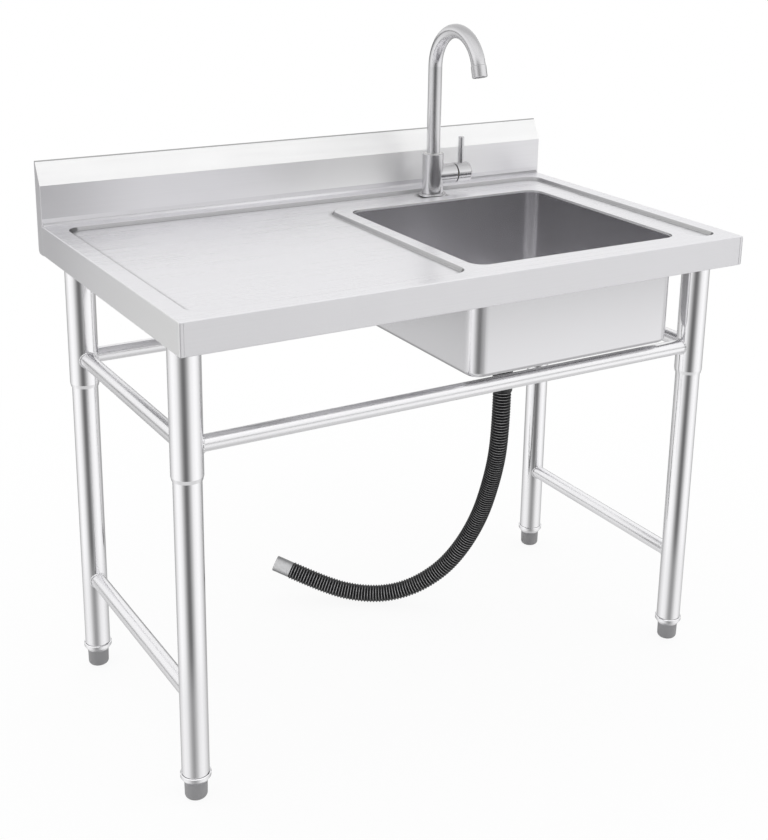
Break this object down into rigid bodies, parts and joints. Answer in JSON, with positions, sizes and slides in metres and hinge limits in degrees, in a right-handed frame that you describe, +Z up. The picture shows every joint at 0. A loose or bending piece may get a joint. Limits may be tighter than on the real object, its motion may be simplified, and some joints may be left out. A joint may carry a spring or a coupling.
{
  "type": "freestanding kitchen sink",
  "caption": "Freestanding stainless kitchen sink with drainboard and backsplash on a tubular stand, with a swivel spout tap, lever valve, strainer and ribbed drain hose.",
  "frame": {"origin": "on the floor under the middle of the worktop", "axes": "+X to the user's right, +Y to the back, +Z up"},
  "size_m": [1, 0.6, 1.0875],
  "materials": {
    "deck_steel": "fine brushed grain along the length",
    "basin_steel": "satin drawn steel",
    "tube_steel": "polished tube",
    "bracket_steel": "plain mill finish",
    "fastener_steel": "plain",
    "tap_steel": "satin turned steel",
    "drain_steel": "satin",
    "valve_brass": "machined",
    "seal_rubber": "matt",
    "bush_plastic": "matt",
    "foot_plastic": "satin moulded",
    "drain_plastic": "satin moulded",
    "hose_plastic": "soft sheen",
    "cuff_plastic": "satin moulded"
  },
  "bodies": {
    "stand": {"worktop": "deck_steel", "backsplash": "deck_steel", "splash_end_panels": "deck_steel", "basin": "basin_steel", "leg_collars": "tube_steel", "front_left_leg_socket": "tube_steel", "front_left_leg": "tube_steel", "rear_left_leg_socket": "tube_steel", "rear_left_leg": "tube_steel", "front_right_leg_socket": "tube_steel", "front_right_leg": "tube_steel", "rear_right_leg_socket": "tube_steel", "rear_right_leg": "tube_steel", "left_upper_rail": "tube_steel", "right_upper_rail": "tube_steel", "front_upper_rail": "tube_steel", "rear_upper_rail": "tube_steel", "left_lower_stretcher": "tube_steel", "right_lower_stretcher": "tube_steel", "drainboard_stiffener": "bracket_steel", "leg_channels": "bracket_steel", "socket_top_plates": "bracket_steel", "plate_screws": "fastener_steel", "tap_clamp_nut": "fastener_steel", "spout_retaining_screw": "fastener_steel", "hose_clamp": "fastener_steel", "tap_base_ring": "tap_steel", "tap_body": "tap_steel", "drain_cup": "drain_steel", "tap_shank": "valve_brass", "valve_cartridge": "valve_brass", "valve_gland_nut": "valve_brass", "tap_base_gasket": "seal_rubber", "tap_clamp_washer": "seal_rubber", "spout_seals": "seal_rubber", "drain_gaskets": "seal_rubber", "spout_bush": "bush_plastic", "drain_lock_nut": "drain_plastic", "hose_top_cuff": "drain_plastic", "drain_hose": "hose_plastic", "hose_end_cuff": "cuff_plastic"},
    "spout_arm": {"spout": "tap_steel", "aerator_housing": "tap_steel", "aerator_core": "bush_plastic"},
    "tap_lever": {"valve_stem": "valve_brass", "lever_hub": "tap_steel", "lever_rod": "tap_steel", "lever_set_screw": "fastener_steel"},
    "strainer": {"strainer_basket": "drain_steel"},
    "front_left_levelling_foot": {"front_left_foot": "foot_plastic", "front_left_foot_stud": "fastener_steel"},
    "rear_left_levelling_foot": {"rear_left_foot": "foot_plastic", "rear_left_foot_stud": "fastener_steel"},
    "front_right_levelling_foot": {"front_right_foot": "foot_plastic", "front_right_foot_stud": "fastener_steel"},
    "rear_right_levelling_foot": {"rear_right_foot": "foot_plastic", "rear_right_foot_stud": "fastener_steel"}
  },
  "joints": [
    {"name": "spout_swivel", "type": "hinge", "parent": "stand", "child": "spout_arm", "pos_m": [0.212, 0.2125, 0.9], "axis": [0, 0, 1], "continuous": true},
    {"name": "lever_turn", "type": "hinge", "parent": "stand", "child": "tap_lever", "pos_m": [0.3, 0.2125, 0.806], "axis": [1, 0, 0], "range_deg": [0, 90]},
    {"name": "strainer_lift", "type": "slide", "parent": "stand", "child": "strainer", "axis": [0, 0, 1], "range_m": [0, 0.08]},
    {"name": "front_left_foot_screw", "type": "slide", "parent": "stand", "child": "front_left_levelling_foot", "axis": [0, 0, -1], "range_m": [0, 0.02]},
    {"name": "rear_left_foot_screw", "type": "slide", "parent": "stand", "child": "rear_left_levelling_foot", "axis": [0, 0, -1], "range_m": [0, 0.02]},
    {"name": "front_right_foot_screw", "type": "slide", "parent": "stand", "child": "front_right_levelling_foot", "axis": [0, 0, -1], "range_m": [0, 0.02]},
    {"name": "rear_right_foot_screw", "type": "slide", "parent": "stand", "child": "rear_right_levelling_foot", "axis": [0, 0, -1], "range_m": [0, 0.02]}
  ]
}
